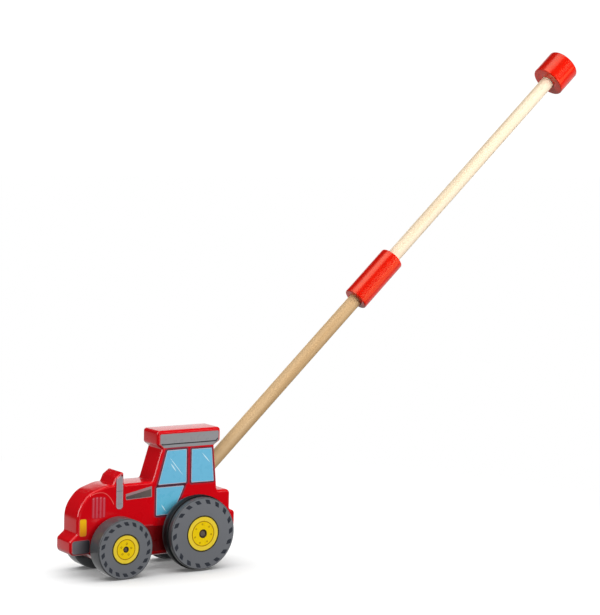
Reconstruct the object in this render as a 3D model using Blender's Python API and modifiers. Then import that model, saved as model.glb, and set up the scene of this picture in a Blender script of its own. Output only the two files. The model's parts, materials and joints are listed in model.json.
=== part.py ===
"""Push-along toy tractor on a two-part wooden pole.

A slab of painted wood forms the tractor. Two steel axles turn in bores through it, and each carries a
pair of wooden wheels. The pole slants up and back from a socket in the back of the cab. A turned sleeve
joins its two halves, and a turned knob is the handle.

Metres, +Z up, +X to the tractor's nose, +Y to its left side. The floor is Z = 0, and the origin lies on
it, under the middle of the whole toy. The design itself is laid out from the point on the floor under
the rear axle.
"""

import math

import bmesh
import bpy
from mathutils import Vector

MM = 0.001

# Fits
FIT_GAP = 0.3 * MM  # between pieces that are glued, pressed or pushed together
RUNNING_GAP = 0.4 * MM  # between an axle and the bore it turns in

# Tractor body
BODY_THICKNESS = 32 * MM
BODY_EDGE_RADIUS = 3 * MM
GROUND_CLEARANCE = 16.4 * MM
BUMPER_UNDERSIDE = 23.9 * MM
NOSE_X = 142.5 * MM
GRILLE_X = 134.8 * MM
HOOD_HEIGHT = 94.4 * MM
CHIMNEY_HEIGHT = 108.3 * MM
ROOF_UNDERSIDE = 127.8 * MM
ROOF_HEIGHT = 146.9 * MM
ROOF_FRONT_X = 42.7 * MM
ROOF_REAR_X = -33.6 * MM
CAB_BACK_TOP_X = -26.3 * MM
CAB_BACK_FOOT_X = -30.8 * MM
FENDER_HEIGHT = 79.4 * MM
FENDER_REAR_X = -46.8 * MM
TAIL_X = -53.3 * MM
TAIL_HEIGHT = 55.4 * MM

# Wheels and axles
WHEELBASE = 91 * MM
TRACK_WIDTH = 80 * MM  # over the outer faces of a pair of wheels
WHEEL_WIDTH = 20 * MM
FRONT_WHEEL_RADIUS = 31.4 * MM
REAR_WHEEL_RADIUS = 38.1 * MM
WHEEL_EDGE_RADIUS = 1.4 * MM
TYRE_RADIUS = 39.6 * MM
TYRE_WIDTH = 7.5 * MM
TYRE_DEPTH = 3.6 * MM
TYRE_INSET = 0.8 * MM  # of the tyre's middle from the wheel's middle, towards the body
TYRE_EDGE_RADIUS = 0.9 * MM
FRONT_AXLE_RADIUS = 2 * MM
REAR_AXLE_RADIUS = 3 * MM
AXLE_END_RECESS = 0.6 * MM  # of the axle's end in the wheel's outer face
FRONT_SPACER_RADIUS = 7 * MM
REAR_SPACER_RADIUS = 9 * MM

# Pole, sleeve and knob, measured along the pole from where it leaves the cab
POLE_RADIUS = 7.5 * MM
POLE_SLOPE = math.radians(43)
POLE_ENTRY_HEIGHT = 103.2 * MM
POLE_SOCKET_DEPTH = 38 * MM
POLE_END_CHAMFER = 0.6 * MM
SLEEVE_START = 252.8 * MM
SLEEVE_LENGTH = 66 * MM
SLEEVE_RADIUS = 14 * MM
SLEEVE_EDGE_RADIUS = 1.2 * MM
KNOB_START = 614.4 * MM
KNOB_LENGTH = 31.4 * MM
KNOB_RADIUS = 19.4 * MM
KNOB_EDGE_RADIUS = 2 * MM
KNOB_SOCKET_DEPTH = 20 * MM

# Fineness
OUTLINE_STEP = math.radians(15)
WHEEL_STEPS = 40
ROUND_STEPS = 32
EDGE_ROUND_STEPS = 3
RIM_ANGLE = math.radians(40)  # edges sharper than this are rounded

# Where the pole's axis leaves the back of the cab, and the middle of the toy's length
CAB_BACK_DROP = (ROOF_UNDERSIDE - POLE_ENTRY_HEIGHT) / (ROOF_UNDERSIDE - FENDER_HEIGHT)
POLE_ENTRY_X = CAB_BACK_TOP_X + (CAB_BACK_FOOT_X - CAB_BACK_TOP_X) * CAB_BACK_DROP
KNOB_REACH = (
    (KNOB_START + KNOB_LENGTH - KNOB_EDGE_RADIUS) * math.cos(POLE_SLOPE)
    + (KNOB_RADIUS - KNOB_EDGE_RADIUS) * math.sin(POLE_SLOPE)
    + KNOB_EDGE_RADIUS
)
MIDDLE_X = (NOSE_X + POLE_ENTRY_X - KNOB_REACH) / 2


def clear_scene():
    for obj in list(bpy.data.objects):
        bpy.data.objects.remove(obj, do_unlink=True)


def new_collection(name):
    collection = bpy.data.collections.new(name)
    bpy.context.scene.collection.children.link(collection)
    return collection


def new_material(name, color, roughness, metallic=0.0):
    material = bpy.data.materials.new(name)
    material.use_nodes = True
    shader = material.node_tree.nodes["Principled BSDF"]
    shader.inputs["Base Color"].default_value = (*color, 1.0)
    shader.inputs["Roughness"].default_value = roughness
    shader.inputs["Metallic"].default_value = metallic
    material.diffuse_color = (*color, 1.0)
    return material


def new_empty(name, location, parent=None):
    empty = bpy.data.objects.new(name, None)
    parts.objects.link(empty)
    empty.location = location
    empty.parent = parent
    return empty


def place(name, mesh, material, parent, location=(0, 0, 0), rotation=(0, 0, 0)):
    obj = bpy.data.objects.new(name, mesh)
    parts.objects.link(obj)
    obj.parent = parent
    obj.location = location
    obj.rotation_euler = rotation
    if not mesh.materials:
        mesh.materials.append(material)
    mesh.shade_smooth()
    mesh.set_sharp_from_angle(angle=RIM_ANGLE)
    return obj


def round_edges(obj, width, segments=EDGE_ROUND_STEPS):
    bevel = obj.modifiers.new("rounded edges", "BEVEL")
    bevel.width = width
    bevel.segments = segments
    bevel.limit_method = "ANGLE"
    bevel.angle_limit = RIM_ANGLE


def rounded_outline(corners):
    """Points of a closed outline whose corners (x, z, radius) are replaced by tangent arcs."""
    points = []
    for i, (x, z, radius) in enumerate(corners):
        corner = Vector((x, z))
        before = (Vector(corners[i - 1][:2]) - corner).normalized()
        after = (Vector(corners[(i + 1) % len(corners)][:2]) - corner).normalized()
        half_angle = before.angle(after) / 2
        centre = corner + (before + after).normalized() * radius / math.sin(half_angle)
        start = corner + before * radius / math.tan(half_angle) - centre
        turn = -start.angle_signed(corner + after * radius / math.tan(half_angle) - centre)
        count = max(2, math.ceil(abs(turn) / OUTLINE_STEP))
        for k in range(count + 1):
            angle = math.atan2(start.y, start.x) + turn * k / count
            points.append(centre + radius * Vector((math.cos(angle), math.sin(angle))))
    return points


def body_outline():
    """The tractor's side view, from the underside round by the nose, hood, cab and tail."""
    screen_foot_x = 47.3 * MM
    screen_top_x = 36.7 * MM
    return rounded_outline([
        (112 * MM, GROUND_CLEARANCE, 8 * MM),
        (120 * MM, BUMPER_UNDERSIDE, 6 * MM),
        (NOSE_X, BUMPER_UNDERSIDE, 6 * MM),
        (NOSE_X, 39.6 * MM, 4 * MM),
        (GRILLE_X, 46 * MM, 3 * MM),
        (GRILLE_X, 70.6 * MM, 30 * MM),
        (121.1 * MM, 87.6 * MM, 25 * MM),
        (100.2 * MM, HOOD_HEIGHT, 30 * MM),
        (93.8 * MM, HOOD_HEIGHT, 1.5 * MM),
        (90.6 * MM, 101.6 * MM, 3.3 * MM),
        (81.5 * MM, CHIMNEY_HEIGHT, 1.8 * MM),
        (81 * MM, HOOD_HEIGHT, 2 * MM),
        (screen_foot_x, HOOD_HEIGHT, 3 * MM),
        (screen_top_x, ROOF_UNDERSIDE, 1.5 * MM),
        (ROOF_FRONT_X, 132.2 * MM, 3.3 * MM),
        (ROOF_FRONT_X, ROOF_HEIGHT, 3.3 * MM),
        (ROOF_REAR_X, ROOF_HEIGHT, 3.3 * MM),
        (ROOF_REAR_X, 132.6 * MM, 3.3 * MM),
        (CAB_BACK_TOP_X, ROOF_UNDERSIDE, 1.5 * MM),
        (CAB_BACK_FOOT_X, FENDER_HEIGHT, 3 * MM),
        (FENDER_REAR_X, FENDER_HEIGHT, 5 * MM),
        (FENDER_REAR_X, 57.8 * MM, 3 * MM),
        (TAIL_X, TAIL_HEIGHT, 4 * MM),
        (TAIL_X, GROUND_CLEARANCE, 28 * MM),
    ])


def slab_mesh(name, outline, thickness):
    """A mesh of the outline, standing in the XZ plane and as thick as given along Y."""
    curve = bpy.data.curves.new(name, "CURVE")
    curve.dimensions = "2D"
    curve.fill_mode = "BOTH"
    curve.extrude = thickness / 2
    spline = curve.splines.new("POLY")
    spline.points.add(len(outline) - 1)
    for point, (x, z) in zip(spline.points, outline):
        point.co = (x, z, 0, 1)
    spline.use_cyclic_u = True
    guide = bpy.data.objects.new(name + " outline", curve)
    guide.rotation_euler = (math.radians(90), 0, 0)
    parts.objects.link(guide)
    bpy.context.view_layer.update()
    solid = guide.evaluated_get(bpy.context.evaluated_depsgraph_get())
    mesh = bpy.data.meshes.new_from_object(solid)
    mesh.name = name
    bm = bmesh.new()
    bm.from_mesh(mesh)
    bmesh.ops.remove_doubles(bm, verts=bm.verts, dist=0.01 * MM)
    bmesh.ops.dissolve_limit(bm, angle_limit=math.radians(1), verts=bm.verts, edges=bm.edges)
    bm.transform(guide.matrix_world)
    bmesh.ops.recalc_face_normals(bm, faces=bm.faces)
    bm.to_mesh(mesh)
    bm.free()
    bpy.data.objects.remove(guide)
    return mesh


def rod_mesh(name, radius, length):
    """A cylinder along Z, its first end at the origin."""
    mesh = bpy.data.meshes.new(name)
    bm = bmesh.new()
    bmesh.ops.create_cone(
        bm, cap_ends=True, segments=ROUND_STEPS, radius1=radius, radius2=radius, depth=length
    )
    bmesh.ops.translate(bm, verts=bm.verts, vec=(0, 0, length / 2))
    bm.to_mesh(mesh)
    bm.free()
    return mesh


def rounded_corner(radius_at, height_at, radius, start):
    """Points of a quarter circle in a turned profile, clockwise from the angle start."""
    return [
        (
            radius_at + radius * math.cos(start - k * math.pi / 2 / EDGE_ROUND_STEPS),
            height_at + radius * math.sin(start - k * math.pi / 2 / EDGE_ROUND_STEPS),
        )
        for k in range(EDGE_ROUND_STEPS + 1)
    ]


def rounded_wall(outer, low, high, edge):
    """A turned profile's outer side, top to bottom, with both edges rounded."""
    return rounded_corner(outer - edge, high - edge, edge, math.pi / 2) + rounded_corner(
        outer - edge, low + edge, edge, 0
    )


def turned(name, profile, steps, closed, material, parent, location=(0, 0, 0), rotation=(0, 0, 0)):
    """A piece turned about its own Z from profile, a list of (radius, height)."""
    mesh = bpy.data.meshes.new(name)
    count = len(profile)
    edges = [(i, i + 1) for i in range(count - 1)]
    if closed:
        edges.append((count - 1, 0))
    mesh.from_pydata([(radius, 0, height) for radius, height in profile], edges, [])
    obj = place(name, mesh, material, parent, location, rotation)
    screw = obj.modifiers.new("turned", "SCREW")
    screw.axis = "Z"
    screw.angle = math.tau
    screw.steps = steps
    screw.render_steps = steps
    screw.use_merge_vertices = True
    screw.merge_threshold = 0.01 * MM
    screw.use_smooth_shade = True
    return obj


def cut_round_hole(obj, name, radius, length, location, rotation):
    """Cuts a round hole in obj along the local Z of location and rotation, both in the toy's frame."""
    cutter = bpy.data.objects.new(name, rod_mesh(name, radius, length))
    cutters.objects.link(cutter)
    cutter.parent = toy
    cutter.location = location
    cutter.rotation_euler = rotation
    cutter.display_type = "WIRE"
    cutter.hide_render = True
    hole = obj.modifiers.new(name, "BOOLEAN")
    hole.operation = "DIFFERENCE"
    hole.solver = "EXACT"
    hole.object = cutter


def make_body():
    mesh = slab_mesh("tractor_body", body_outline(), BODY_THICKNESS)
    body = place("tractor_body", mesh, paint_red, toy)
    round_edges(body, BODY_EDGE_RADIUS)
    for name, x, wheel, axle in (
        ("front axle bore", WHEELBASE, FRONT_WHEEL_RADIUS, FRONT_AXLE_RADIUS),
        ("rear axle bore", 0, TYRE_RADIUS, REAR_AXLE_RADIUS),
    ):
        start = (x, -BODY_THICKNESS, wheel)
        cut_round_hole(body, name, axle + RUNNING_GAP, 2 * BODY_THICKNESS, start, ALONG_Y)
    cut_round_hole(
        body,
        "pole socket",
        POLE_RADIUS + FIT_GAP,
        2 * POLE_SOCKET_DEPTH,
        on_pole(-POLE_SOCKET_DEPTH),
        ALONG_POLE,
    )


def on_pole(distance):
    """The point on the pole's axis at this distance from the back of the cab."""
    return (
        POLE_ENTRY_X - distance * math.cos(POLE_SLOPE),
        0,
        POLE_ENTRY_HEIGHT + distance * math.sin(POLE_SLOPE),
    )


def wheel_profile(radius, bore, groove=None):
    """A wheel's closed profile, its outer face up. groove is the floor radius, bottom and top of the
    tyre's groove."""
    half = WHEEL_WIDTH / 2
    tread = rounded_wall(radius, -half, half, WHEEL_EDGE_RADIUS)
    if groove:
        floor, low, high = groove
        middle = len(tread) // 2
        tread[middle:middle] = [(radius, high), (floor, high), (floor, low), (radius, low)]
    return tread + [(bore, -half), (bore, half)]


def make_wheelset(end, x, radius, axle_radius, profile, spacer_radius, tyre=None):
    """An axle with its two wheels, spacers and tyres, on an empty at the middle of the axle."""
    axis = new_empty(end + "_axle_line", (x, 0, radius), toy)
    half_track = TRACK_WIDTH / 2
    axle_length = TRACK_WIDTH - 2 * AXLE_END_RECESS
    axle = place(
        end + "_axle",
        rod_mesh(end + "_axle", axle_radius, axle_length),
        bright_steel,
        axis,
        (0, -axle_length / 2, 0),
        ALONG_Y,
    )
    round_edges(axle, 0.4 * MM, 1)
    spacer_room = half_track - WHEEL_WIDTH - BODY_THICKNESS / 2
    spacer_half = spacer_room / 2 - FIT_GAP
    bore = axle_radius + FIT_GAP
    spacer = [
        (spacer_radius, spacer_half),
        (spacer_radius, -spacer_half),
        (bore, -spacer_half),
        (bore, spacer_half),
    ]
    for side, sign in (("left", 1), ("right", -1)):
        outward = (-sign * math.radians(90), 0, 0)
        wheel_y = half_track - WHEEL_WIDTH / 2
        spacer_y = BODY_THICKNESS / 2 + spacer_room / 2
        pieces = [
            ("wheel", profile, WHEEL_STEPS, paint_grey, wheel_y),
            ("spacer", spacer, ROUND_STEPS, bare_wood, spacer_y),
        ]
        if tyre:
            pieces.append(("tyre", tyre, WHEEL_STEPS, black_rubber, wheel_y - TYRE_INSET))
        for kind, outline, steps, material, y in pieces:
            name = f"{end}_{kind}_{side}"
            turned(name, outline, steps, True, material, axis, (0, sign * y, 0), outward)


def make_wheels():
    make_wheelset(
        "front",
        WHEELBASE,
        FRONT_WHEEL_RADIUS,
        FRONT_AXLE_RADIUS,
        wheel_profile(FRONT_WHEEL_RADIUS, FRONT_AXLE_RADIUS + FIT_GAP),
        FRONT_SPACER_RADIUS,
    )
    tyre_floor = TYRE_RADIUS - TYRE_DEPTH
    tyre_half = TYRE_WIDTH / 2
    reach = tyre_half + FIT_GAP
    groove = (tyre_floor - FIT_GAP, -TYRE_INSET - reach, -TYRE_INSET + reach)
    make_wheelset(
        "rear",
        0,
        TYRE_RADIUS,
        REAR_AXLE_RADIUS,
        wheel_profile(REAR_WHEEL_RADIUS, REAR_AXLE_RADIUS + FIT_GAP, groove),
        REAR_SPACER_RADIUS,
        rounded_wall(TYRE_RADIUS, -tyre_half, tyre_half, TYRE_EDGE_RADIUS)
        + [(tyre_floor, -tyre_half), (tyre_floor, tyre_half)],
    )


def make_pole():
    joint = SLEEVE_START + SLEEVE_LENGTH / 2
    halves = (
        ("lower_pole", FIT_GAP - POLE_SOCKET_DEPTH, joint - FIT_GAP / 2),
        ("upper_pole", joint + FIT_GAP / 2, KNOB_START + KNOB_SOCKET_DEPTH - FIT_GAP),
    )
    for name, start, end in halves:
        mesh = rod_mesh(name, POLE_RADIUS, end - start)
        pole = place(name, mesh, bare_wood, toy, on_pole(start), ALONG_POLE)
        round_edges(pole, POLE_END_CHAMFER, 1)

    bore = POLE_RADIUS + FIT_GAP
    sleeve = rounded_wall(SLEEVE_RADIUS, 0, SLEEVE_LENGTH, SLEEVE_EDGE_RADIUS)
    sleeve += [(bore, 0), (bore, SLEEVE_LENGTH)]
    turned(
        "pole_sleeve", sleeve, ROUND_STEPS, True, paint_red, toy, on_pole(SLEEVE_START), ALONG_POLE
    )

    knob = [(0, KNOB_LENGTH)] + rounded_wall(KNOB_RADIUS, 0, KNOB_LENGTH, KNOB_EDGE_RADIUS)
    knob += [(bore, 0), (bore, KNOB_SOCKET_DEPTH), (0, KNOB_SOCKET_DEPTH)]
    turned(
        "handle_knob", knob, ROUND_STEPS, False, paint_red, toy, on_pole(KNOB_START), ALONG_POLE
    )


ALONG_Y = (math.radians(-90), 0, 0)
ALONG_POLE = (0, POLE_SLOPE - math.radians(90), 0)

clear_scene()
parts = new_collection("push_along_tractor")
cutters = new_collection("cutters")
cutters.hide_render = True

paint_red = new_material("red gloss paint", (0.58, 0.012, 0.014), 0.22)
paint_grey = new_material("grey satin paint", (0.15, 0.15, 0.17), 0.38)
bare_wood = new_material("bare wood", (0.74, 0.50, 0.29), 0.5)
black_rubber = new_material("black rubber", (0.012, 0.012, 0.013), 0.6)
bright_steel = new_material("steel", (0.45, 0.44, 0.42), 0.35, 1.0)

toy = new_empty("toy_frame", (-MIDDLE_X, 0, 0))
make_body()
make_wheels()
make_pole()
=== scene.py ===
"""Looks for the push-along toy tractor: painted board body, printed details, wheels, pole, sleeve and knob.

Lengths in the tables below are in millimetres from a datum 38.2 mm under the rear axle, which is 1.4 mm
above the floor: X to the nose, Y to the tractor's left, Z up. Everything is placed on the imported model's
joints and mounts.
"""

import json
import math

import bmesh
import bpy
from mathutils import Matrix, Vector


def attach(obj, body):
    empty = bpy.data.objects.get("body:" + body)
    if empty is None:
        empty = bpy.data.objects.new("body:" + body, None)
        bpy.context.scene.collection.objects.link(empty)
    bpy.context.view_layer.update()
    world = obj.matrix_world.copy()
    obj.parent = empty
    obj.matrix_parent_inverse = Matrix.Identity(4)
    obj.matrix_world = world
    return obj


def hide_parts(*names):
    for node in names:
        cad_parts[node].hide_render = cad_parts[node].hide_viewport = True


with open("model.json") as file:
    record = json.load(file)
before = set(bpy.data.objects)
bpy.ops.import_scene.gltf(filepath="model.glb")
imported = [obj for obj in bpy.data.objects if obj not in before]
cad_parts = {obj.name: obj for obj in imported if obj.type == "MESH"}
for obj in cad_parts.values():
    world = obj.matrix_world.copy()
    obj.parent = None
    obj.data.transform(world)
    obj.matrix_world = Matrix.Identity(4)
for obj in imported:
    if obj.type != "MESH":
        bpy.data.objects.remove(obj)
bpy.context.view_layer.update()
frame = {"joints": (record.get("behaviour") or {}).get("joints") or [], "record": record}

MM = 0.001
SHARP = 32.0  # faces that meet at more than this many degrees keep a crisp edge
JOINTS = {joint["name"]: joint for joint in frame["joints"]}
MOUNTS = {mount["name"]: mount for mount in frame["record"]["mounts"]}
REAR_AXLE = Vector(JOINTS["rear_axle_spin"]["pos_m"])
FRONT_AXLE = Vector(JOINTS["front_axle_spin"]["pos_m"])
REAR_AXLE_Z = 38.2
ORIGIN = Vector((REAR_AXLE.x, 0, REAR_AXLE.z - REAR_AXLE_Z * MM))
WHEELBASE = (FRONT_AXLE.x - REAR_AXLE.x) / MM
FRONT_AXLE_Z = (FRONT_AXLE.z - ORIGIN.z) / MM

# Body
HALF_BOARD = 16.0
BODY_EDGE = 3.0
NOSE_X = 142.5
GRILLE_X = 134.8
HOOD_Z = 93.0
ROOF_UNDERSIDE = 126.4
ROOF_Z = 145.5
ROOF_FRONT_X = 42.7
ROOF_REAR_X = -33.6
CAB_BACK_TOP_X = -26.3
CAB_BACK_FOOT_X = -30.8
FENDER_Z = 78.0
FENDER_REAR_X = -46.8
TAIL_X = -53.3

# Pole, along its axis from where it leaves the cab
POLE_RADIUS = 7.5
SOCKET_DEPTH = 38.0
SLEEVE_START = 252.8
SLEEVE_LENGTH = 66.0
SLEEVE_RADIUS = 14.0
KNOB_START = 614.4
KNOB_LENGTH = 31.4
KNOB_RADIUS = 19.4
KNOB_SOCKET = 20.0

# Wheels and axles
HALF_TRACK = 40.0
WHEEL_WIDTH = 20.0
WHEEL_EDGE = 1.4
TYRE_MIDDLE = 29.2
TYRE_WIDTH = 7.5
TYRE_RADIUS = 39.6
TYRE_BORE = 36.0
AXLE_RADIUS = {"front": 2.0, "rear": 3.0}
SPACER_RADIUS = {"front": 7.0, "rear": 9.0}
GAP = 0.3  # between neighbouring pieces
POLE_GAP = 0.25  # round the pole in its sockets

# Studio: lamp powers in watts, suns in watts per square metre, backgrounds as strengths
FILL_ABOVE = 0.33
FILL_BELOW = 0.06
SUN = 0.8
FLOOR_SUN = 3.3
FRONT_BOX = 6
SIDE_BOX = 10
FAR_BOX = 9
TOP_BOX = 1.1
RIGHT_BOX = 3
EDGE_BOX = 1.2
WARM = (1, 0.78, 0.5)
FLOOR_GREY = 0.80
FLOOR_GLOW = 0.07

# Camera: angles in degrees, place in millimetres from the datum
VIEW_TURN = 33.293
VIEW_DROP = 5.244
VIEW_ROLL = 1.347
VIEW_FROM = (1106.9, 1899.7, 476.2)
LENS = 126


# ---------------------------------------------------------------- geometry helpers


def finish_mesh(name, bm, materials, sharp=SHARP):
    """Turn bm into an object, smooth except where faces meet at more than sharp degrees."""
    mesh = bpy.data.meshes.new(name)
    bmesh.ops.recalc_face_normals(bm, faces=bm.faces)
    bm.to_mesh(mesh)
    bm.free()
    for material in materials:
        mesh.materials.append(material)
    mesh.shade_smooth()
    mesh.set_sharp_from_angle(angle=math.radians(sharp))
    obj = bpy.data.objects.new(name, mesh)
    bpy.context.scene.collection.objects.link(obj)
    return obj


def rounded_outline(corners, step=5.0):
    """Points of a closed outline whose corners (x, z, radius) are replaced by tangent arcs."""
    points = []
    for i, (x, z, radius) in enumerate(corners):
        corner = Vector((x, z))
        if radius <= 0:
            points.append(corner)
            continue
        before = (Vector(corners[i - 1][:2]) - corner).normalized()
        after = (Vector(corners[(i + 1) % len(corners)][:2]) - corner).normalized()
        half_angle = before.angle(after) / 2
        centre = corner + (before + after).normalized() * radius / math.sin(half_angle)
        start = corner + before * radius / math.tan(half_angle) - centre
        end = corner + after * radius / math.tan(half_angle) - centre
        turn = -start.angle_signed(end)
        count = max(2, math.ceil(abs(turn) / math.radians(step)))
        for k in range(count + 1):
            angle = math.atan2(start.y, start.x) + turn * k / count
            points.append(centre + radius * Vector((math.cos(angle), math.sin(angle))))
    return points


def outline_normals(points):
    """The outward normal at each point of a closed anticlockwise outline, scaled for a parallel offset."""
    normals = []
    for i, point in enumerate(points):
        a = (point - points[i - 1]).normalized()
        b = (points[(i + 1) % len(points)] - point).normalized()
        n = Vector((a.y + b.y, -a.x - b.x)).normalized()
        normals.append(n / max(0.35, n.dot(Vector((a.y, -a.x)))))
    return normals


def anticlockwise(points):
    area = sum(points[i - 1].x * p.y - p.x * points[i - 1].y for i, p in enumerate(points))
    return points if area > 0 else points[::-1]


def grown(points, distance):
    """The outline moved outward by distance."""
    points = anticlockwise(points)
    return [p + n * distance for p, n in zip(points, outline_normals(points))]


BODY_OUTLINE = anticlockwise(rounded_outline([
    (112, 15, 8),
    (120, 22.5, 6),
    (NOSE_X, 22.5, 6),
    (NOSE_X, 38.2, 4),
    (GRILLE_X, 44.6, 3),
    (GRILLE_X, 69.2, 30),
    (121.1, 86.2, 25),
    (100.2, HOOD_Z, 30),
    (93.8, HOOD_Z, 1.5),
    (90.6, 100.2, 3.3),
    (81.5, 106.9, 1.8),
    (81, HOOD_Z, 2),
    (47.3, HOOD_Z, 3),
    (36.7, ROOF_UNDERSIDE, 1.5),
    (ROOF_FRONT_X, 130.8, 3.3),
    (ROOF_FRONT_X, ROOF_Z, 3.3),
    (ROOF_REAR_X, ROOF_Z, 3.3),
    (ROOF_REAR_X, 131.2, 3.3),
    (CAB_BACK_TOP_X, ROOF_UNDERSIDE, 1.5),
    (CAB_BACK_FOOT_X, FENDER_Z, 3),
    (FENDER_REAR_X, FENDER_Z, 5),
    (FENDER_REAR_X, 56.4, 3),
    (TAIL_X, 54, 4),
    (TAIL_X, 15, 28),
]))


def depth_inside(x, z):
    """How far the point lies inside the body's outline."""
    best = 1e9
    p = Vector((x, z))
    inside = False
    for i, b in enumerate(BODY_OUTLINE):
        a = BODY_OUTLINE[i - 1]
        ab = b - a
        t = max(0.0, min(1.0, (p - a).dot(ab) / max(1e-9, ab.length_squared)))
        best = min(best, (p - a - ab * t).length)
        if (a.y > z) != (b.y > z) and x < (b.x - a.x) * (z - a.y) / (b.y - a.y) + a.x:
            inside = not inside
    return best if inside else -best


def body_surface(x, z):
    """The body's half thickness at a point of its side view: flat, then falling away in the rounded edge."""
    d = depth_inside(x, z)
    if d >= BODY_EDGE:
        return HALF_BOARD
    short = BODY_EDGE - max(d, 0.0)
    return HALF_BOARD - BODY_EDGE + math.sqrt(max(0.0, BODY_EDGE**2 - short**2))


def to_frame(x, y, z):
    return ORIGIN + Vector((x, y, z)) * MM


def lathe(name, profile, matrix, materials, segments, sharp=SHARP, slots=None):
    """A solid turned about local Z. profile is (radius, height) from top to bottom on the outside.

    slots gives the material index of each band between two profile points.
    """
    bm = bmesh.new()
    rings = []
    for radius, height in profile:
        if radius < 1e-6:
            rings.append([bm.verts.new(matrix @ Vector((0, 0, height * MM)))])
            continue
        ring = []
        for k in range(segments):
            angle = math.tau * k / segments
            spot = Vector((radius * math.cos(angle), radius * math.sin(angle), height)) * MM
            ring.append(bm.verts.new(matrix @ spot))
        rings.append(ring)
    pairs = list(zip(rings, rings[1:]))
    if len(rings[0]) > 1 and len(rings[-1]) > 1:
        pairs.append((rings[-1], rings[0]))
    for band, (upper, lower) in enumerate(pairs):
        for k in range(segments):
            j = (k + 1) % segments
            if len(upper) == 1:
                face = bm.faces.new((upper[0], lower[k], lower[j]))
            elif len(lower) == 1:
                face = bm.faces.new((upper[k], lower[0], upper[j]))
            else:
                face = bm.faces.new((upper[k], lower[k], lower[j], upper[j]))
            if slots:
                face.material_index = slots[band]
    return finish_mesh(name, bm, materials, sharp)


def arc(radius_at, height_at, radius, start, end, steps):
    """Points of an arc in a turned profile, from the angle start to end in degrees."""
    points = []
    for k in range(steps + 1):
        angle = math.radians(start + (end - start) * k / steps)
        points.append((radius_at + radius * math.cos(angle), height_at + radius * math.sin(angle)))
    return points


def along_axle(x, z):
    """A turned piece's frame on an axle: local Z runs along +Y, and the origin is the tractor's middle."""
    return Matrix.Translation(to_frame(x, 0, z)) @ Matrix.Rotation(math.radians(-90), 4, "X")


GRIP = MOUNTS["handle_grip"]
POLE_UP = Vector(GRIP["axis"]).normalized()
POLE_FOOT = Vector(GRIP["pos_m"]) - POLE_UP * (KNOB_START + KNOB_LENGTH / 2) * MM
POLE = Matrix.Translation(POLE_FOOT) @ POLE_UP.to_track_quat("Z", "Y").to_matrix().to_4x4()


# ---------------------------------------------------------------- materials


class Surface:
    """A Principled material with its colour and relief made from noise in object coordinates."""

    def __init__(self, name, **sockets):
        self.material = bpy.data.materials.new(name)
        self.material.use_nodes = True
        self.tree = self.material.node_tree
        self.shader = self.tree.nodes["Principled BSDF"]
        self.place = self.add("ShaderNodeTexCoord").outputs["Object"]
        self.relief = None
        for key, value in sockets.items():
            self.shader.inputs[key.replace("_", " ")].default_value = value

    def add(self, kind, **settings):
        node = self.tree.nodes.new(kind)
        for key, value in settings.items():
            setattr(node, key, value)
        return node

    def link(self, a, b):
        self.tree.links.new(a, b)

    def coords(self, stretch):
        node = self.add("ShaderNodeMapping")
        node.inputs["Scale"].default_value = stretch
        self.link(self.place, node.inputs["Vector"])
        return node.outputs["Vector"]

    def noise(self, scale, stretch=(1, 1, 1), detail=3.0, roughness=0.5, distortion=0.0):
        node = self.add("ShaderNodeTexNoise")
        node.inputs["Scale"].default_value = scale
        node.inputs["Detail"].default_value = detail
        node.inputs["Roughness"].default_value = roughness
        node.inputs["Distortion"].default_value = distortion
        self.link(self.coords(stretch), node.inputs["Vector"])
        return node.outputs["Fac"]

    def ramp(self, factor, *stops):
        """A colour ramp; each stop is (position, (r, g, b))."""
        node = self.add("ShaderNodeValToRGB")
        elements = node.color_ramp.elements
        while len(elements) < len(stops):
            elements.new(0.5)
        for element, (position, color) in zip(elements, stops):
            element.position = position
            element.color = (*color, 1.0)
        self.link(factor, node.inputs["Fac"])
        return node.outputs["Color"]

    def spread(self, factor, low, high, start=0.3, end=0.7):
        node = self.add("ShaderNodeMapRange")
        node.inputs["From Min"].default_value = start
        node.inputs["From Max"].default_value = end
        node.inputs["To Min"].default_value = low
        node.inputs["To Max"].default_value = high
        self.link(factor, node.inputs["Value"])
        return node.outputs["Result"]

    def mix(self, factor, a, b, blend="MIX"):
        """factor is a number or a socket, a and b are sockets or colours."""
        node = self.add("ShaderNodeMix", data_type="RGBA", blend_type=blend)
        for key, value in (("Factor", factor), ("A", a), ("B", b)):
            socket = [s for s in node.inputs if s.name == key and s.enabled][0]
            if isinstance(value, bpy.types.NodeSocket):
                self.link(value, socket)
            elif key == "Factor":
                socket.default_value = value
            else:
                socket.default_value = (*value, 1.0)
        return [s for s in node.outputs if s.enabled][0]

    def color(self, socket):
        self.link(socket, self.shader.inputs["Base Color"])
        return self

    def rough(self, socket):
        self.link(socket, self.shader.inputs["Roughness"])
        return self

    def bump(self, height, distance, strength=1.0):
        node = self.add("ShaderNodeBump")
        node.inputs["Distance"].default_value = distance
        node.inputs["Strength"].default_value = strength
        self.link(height, node.inputs["Height"])
        if self.relief:
            self.link(self.relief, node.inputs["Normal"])
        self.relief = node.outputs["Normal"]
        self.link(self.relief, self.shader.inputs["Normal"])
        return self


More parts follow.
